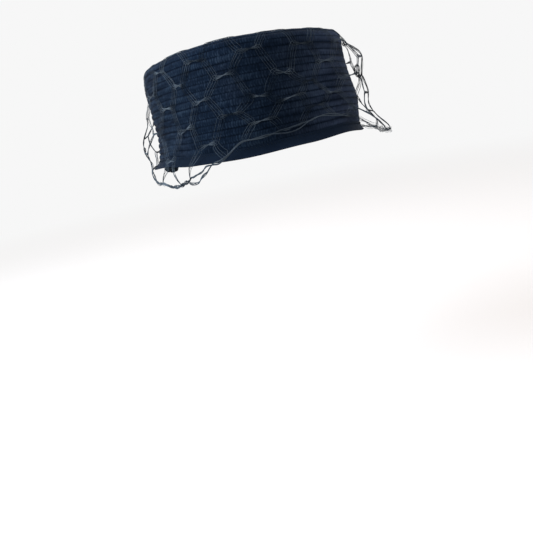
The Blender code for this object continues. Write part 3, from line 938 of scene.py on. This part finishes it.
def makeVeil():
    chance = np.random.default_rng(veil["seed"])
    x, y, spread, joined, turned, aside = strandPath()
    along = y * netRise
    hug = 1 - veil["caught"] * rise(y, *veil["caughtRows"])
    lines, swell, paintedShine = [], [], []
    for way in (1, -1):
        for strand in range(net["columns"] // 2):
            column = 2 * strand + way * x
            turn = turnAt(column)
            loose = looseness(turn, y)
            roundShift, downShift, offShift = tangle(turn, y)
            cord = chance.random() < veil["cordChance"]
            own = chance.uniform(*veil["cordShare"]) if cord else veil["loneShare"]
            gauze = np.exp(-((fromTurn(turn, veil["gauzeTurn"]) / veil["gauzeReach"]) ** 2))
            gather = loose * own * (1 - veil["gauzeShare"] * gauze)
            twist = chance.uniform(*veil["cordTwist"])
            for thread in range(veil["threads"]):
                side = 2 * thread / (veil["threads"] - 1) - 1 + chance.uniform(-0.12, 0.12)
                wave = chance.uniform(0, 2 * math.pi, 4)
                long, short = np.multiply.outer(veil["wobbleWaves"], along)
                shake = np.sin(long + wave[0]) + 0.6 * np.sin(short + wave[1])
                crossing = np.cos(math.pi * turned + wave[2] * 0.04)
                winding = twist * along + 2 * math.pi * thread / veil["threads"]
                away = side * spread * (1 - gather) * crossing + veil["wobble"] * shake * (1 - 0.7 * gather)
                away = (away + veil["cordRadius"] * gather * np.cos(winding)) * hug
                lift = veil["weave"] * np.sin(math.pi * turned + side * 2 + way)
                lift = lift - veil["sink"] * (1 - smooth(y - 3)) + offShift
                lift = lift + loose * (1 - gather) * veil["stray"] * np.sin(along * 95 + wave[3])
                lift = lift + gather * (veil["cordOff"] + veil["cordRadius"] * np.sin(winding))
                lines.append(netPoint(
                    column + roundShift + way * away * aside[:, 0] / netPitch,
                    y + downShift + away * aside[:, 1] / netRise,
                    lift,
                ))
                swell.append(1 + veil["cordSwell"] * loose)
                # The level bars, where strands run together, carry the painted highlight.
                paintedShine.append(joined)
    return threadPiece("veilNet", lines, veil["threadRadius"], swell=swell, paintedShine=paintedShine)


veilNet = makeVeil()
print("veil made,", len(veilNet.data.polygons), "faces")


# The lower border: threads laid together and twisted a little.
border = {
    "threads": 12,  # in two bunches that are twisted round each other
    "radius": 0.00020,
    "bunch": 0.00040,  # half the thickness of a bunch
    "apart": 0.00085,  # from the middle of the border to that of a bunch
    "points": 1000,
    "twists": 26,
    "threadTwists": 31,
    "looseTwist": 1.6,  # it has twisted up this much more where it hangs free
    "partings": [(102, 6, 0.0023), (55, 10, 0.0024)],  # turn, reach and distance: the two bunches lie apart
    "frontTurn": -5,  # round the front the threads are finer and hang in open loops
    "frontStart": 60,
    "frontFull": 25,
    "frontThin": 0.55,
    "looseSwell": 0.3,  # the threads bulk up by this share where it hangs free
    "off": 0.0004,  # how far it stands off the net
    "wander": 0.0004,
    "strayBack": 0.0007,
    "strayFront": 0.0026,
}


def makeBorder(name, halfRow, threads, share, seed):
    chance = np.random.default_rng(seed)
    column = net["columns"] * np.arange(border["points"]) / border["points"]
    turn = turnAt(column)
    roundShift, downShift, offShift = tangle(turn, halfRow)
    loose = looseness(turn, halfRow)
    centre = netPoint(column + roundShift, halfRow + downShift, offShift)
    rate = np.linalg.norm(np.roll(centre, -1, 0) - centre, axis=1) * (1 + border["looseTwist"] * loose)
    phase = 2 * math.pi * np.cumsum(rate) / np.sum(rate)
    aside = np.abs(fromTurn(turn, border["frontTurn"]))
    front = smooth((border["frontStart"] - aside) / (border["frontStart"] - border["frontFull"]))
    front = front * (halfRow > 0)
    parted, part = 0 * turn, 0 * turn
    for middle, reach, distance in border["partings"] if halfRow else []:
        bell = np.exp(-(((turn - middle) / reach) ** 2))
        parted, part = parted + bell, part + distance * bell
    opened = np.clip(1 + 0.5 * ripple(turn, seed + 1, (5, 9, 16), 1.0), 0.3, None)
    apart = share * border["apart"] * opened * (1 - 0.5 * loose) * (1 + 0.6 * front) + part
    shift = ripple(turn, seed + 31, (7, 12), border["wander"])
    lines, swell = [], []
    for thread in range(threads):
        pair = phase * border["twists"] + math.pi * (thread % 2)
        upDown = np.cos(pair) * (1 - parted) + (1 - 1.5 * (thread % 2)) * parted
        own = phase * border["threadTwists"] + 4 * math.pi * (thread // 2) / threads
        size = share * border["bunch"] * chance.uniform(0.6, 1.2) * (1 + 0.15 * loose)
        reach = border["strayFront"] * front if thread % 3 == 1 else border["strayBack"] * (thread % 6 == 0)
        strays = ripple(turn, seed + 50 + thread, (4, 7), 1.0) * reach * loose
        lift = border["off"] + 0.45 * apart * (1 + np.sin(pair)) + 0.5 * size * np.sin(own) + offShift
        lift = lift + 0.4 * np.abs(strays)
        down = (apart * upDown + size * np.cos(own) + shift + strays) / netRise
        lines.append(netPoint(column + roundShift, halfRow + downShift + down, lift))
        swell.append((1 + border["looseSwell"] * loose) * (1 - border["frontThin"] * front))
    return threadPiece(name, lines, border["radius"], closed=True, swell=swell)


veilBorder = makeBorder("veilBorder", net["halfRows"], border["threads"], 1.0, 301)
veilDrawRing = makeBorder("veilDrawRing", 0, 6, 0.7, 401)
dress(veilNet, veilThread, "veil_net", "veil_net", "veil_top")
dress(veilBorder, borderThread, "veil_net")
dress(veilDrawRing, veilThread, "veil_net", "veil_top")
print("borders made")


# Small knots where threads have caught.
catches = {
    "places": [  # turn, half row, off the net, half width and half height of the ring
        (10, 4.9, 0.0, 0.0030, 0.0044),
        (13, 3.3, -0.0005, 0.0009, 0.0012),
        (152, 6.8, 0.0, 0.0016, 0.0019),
    ],
    "winds": 3,
    "thread": 0.00028,
}


def makeCatches():
    lines = []
    chance = np.random.default_rng(19)
    for turn, halfRow, off, wide, tall in catches["places"]:
        column = net["columns"] * turn / 360
        roundShift, downShift, offShift = tangle(np.array(turn, float), halfRow)
        middle = netPoint(column + roundShift, halfRow + downShift, off + offShift)
        for wind in range(catches["winds"]):
            angle = np.linspace(0, 2 * math.pi, 25)[:-1]
            tilt = math.radians(60) + chance.uniform(-0.4, 0.4)
            size = chance.uniform(0.85, 1.1) * (1 + 0.12 * np.sin(3 * angle + wind))
            flat = np.array((math.cos(tilt), math.sin(tilt), 0)) * wide
            up = np.array((0, 0, tall))
            lines.append(middle + np.outer(size * np.cos(angle), flat) + np.outer(size * np.sin(angle), up))
    knots = threadPiece("veilCatches", lines, catches["thread"], closed=True)
    dress(knots, knotThread, "veil_net")


makeCatches()
print("catches made")


# The knot under the rim, where the veil is gathered and tacked.
knot = {
    "length": 0.0230,
    "depth": 0.0053,
    "drop": 0.0039,  # how far it hangs below the rim
    "turn": 122.5,
    "lobes": 3,
    "folds": 11,
    "foldDepth": 0.05,
    "winds": 15,
    "wound": 3,  # threads wound round it
    "threadRadius": 0.00022,
    "blunt": 2.4,  # how full its ends are
    "bedded": 0.0004,  # how far its upper side is drawn in
}


def makeKnot():
    turn = knot["turn"]
    out = float(sideOut(turn, 0) + flare(turn, 0, crown["bindingHeight"])) - crown["wall"]
    z = float(level(turn, 0)) - 0.0002
    middle = oval(turn, out, z)
    along = oval(turn + 1, out, z) - oval(turn - 1, out, z)
    along /= np.linalg.norm(along)
    side = np.array((-along[1], along[0], 0))

    def girthAt(share):
        return np.clip(1 - np.abs(share) ** knot["blunt"], 0, 1) ** 0.6

    def place(share, angle, girth):  # a point along the lump, and round it from the outer side up
        lobe = 0.80 + 0.20 * np.abs(np.cos(math.pi * knot["lobes"] / 2 * share + 0.5))
        fold = 1 + knot["foldDepth"] * np.cos(math.pi * knot["folds"] * share + 0.7 * np.sin(2 * angle))
        wide = girth * fold * np.cos(angle) * knot["depth"] / 2 * 0.95
        low = -girth * fold * lobe * knot["drop"] * np.clip(-np.sin(angle), 0, 1)
        rim = (level(turn + share * 7.0, 0) - level(turn, 0)) * girth  # drawn flat against the rim
        low = low + rim - knot["bedded"] * (1 - np.clip(np.sin(angle), 0, 1)) * girth
        far = share * knot["length"] / 2
        return middle + np.outer(far, along) + np.outer(wide, side) + np.outer(low, (0, 0, 1))

    bpy.ops.object.select_all(action="DESELECT")
    bpy.ops.mesh.primitive_uv_sphere_add(segments=40, ring_count=90, radius=1)
    piece = bpy.context.object
    piece.name = piece.data.name = "tackKnot"
    points = readPoints(piece.data)
    angle = np.arctan2(points[:, 1], points[:, 0])
    finishMesh(piece.data, place(points[:, 2], angle, girthAt(points[:, 2])))
    dress(piece, knotThread, "veil_tack")
    chance = np.random.default_rng(77)
    lines = []
    for wind in range(knot["wound"]):
        share = np.linspace(-0.90, 0.90, 260)
        angle = math.pi * knot["winds"] * share * (1 if wind != 1 else -0.8) + chance.uniform(0, 6)
        lines.append(place(share, angle, girthAt(share) * 1.02 + 0.02))
    wound = threadPiece("tackThreads", lines, knot["threadRadius"])
    dress(wound, knotThread, "veil_tack")


makeKnot()
print("knot made")


# The floor, backdrop and lights.
studio = {
    "floorDrop": 0.285,
    "floorSide": 12.0,
    "floorShade": (0.78, 0.74, 0.72),  # a little warm, against the blue of the main lamp
    "white": 0.93,
    "fadeFrom": 0.15,
    "fadeTo": 2.8,
}


def makeStudio():
    bpy.ops.object.select_all(action="DESELECT")
    bpy.ops.mesh.primitive_plane_add(size=studio["floorSide"])
    floor = bpy.context.object
    floor.name = "studioFloor"
    floor.data.transform(Matrix.Translation((0, 0, -studio["floorDrop"])))
    material, tree, shader = startMaterial("studioWhite")
    shader.inputs["Base Color"].default_value = colour(*studio["floorShade"])
    shader.inputs["Roughness"].default_value = 0.9
    flat = ownPlace(tree, (1, 1, 0))
    far = addNode(tree, "VectorMath", {0: flat}, operation="LENGTH").outputs["Value"]
    fade = remap(tree, far, studio["fadeFrom"], studio["fadeTo"], ease="SMOOTHSTEP")
    white = colour(*[studio["white"]] * 3)
    glow = addNode(tree, "Emission", {"Color": white}).outputs["Emission"]
    mixed = addNode(tree, "MixShader", {0: fade, 1: shader.outputs["BSDF"], 2: glow}).outputs["Shader"]
    tree.links.new(mixed, tree.nodes["Material Output"].inputs["Surface"])
    floor.data.materials.append(material)
    world = bpy.data.worlds.new("studioWorld")
    world.use_nodes = True
    world.node_tree.nodes["Background"].inputs["Color"].default_value = white
    bpy.context.scene.world = world
    bpy.context.scene.view_settings.view_transform = "Standard"


lamps = {  # place, size, watts and colour
    "keyLamp": ((-0.75, 1.10, 1.05), 0.8, 26.0, (0.74, 0.88, 1.0)),
    "fillLamp": ((-1.30, -0.70, 0.35), 1.2, 1.5, (1.0, 0.97, 0.95)),
    "topLamp": ((0.25, -0.10, 1.40), 1.4, 8.0, (0.97, 0.98, 1.0)),
}


def makeLamps():
    for name, (place, size, watts, tint) in lamps.items():
        data = bpy.data.lights.new(name, "AREA")
        data.size = size
        data.energy = watts
        data.color = tint
        lamp = bpy.data.objects.new(name, data)
        lamp.location = place
        aim = Vector((0, 0, crown["height"] / 2)) - Vector(place)
        lamp.rotation_euler = aim.to_track_quat("-Z", "Y").to_euler()
        bpy.context.scene.collection.objects.link(lamp)


makeStudio()
makeLamps()
print("studio set")
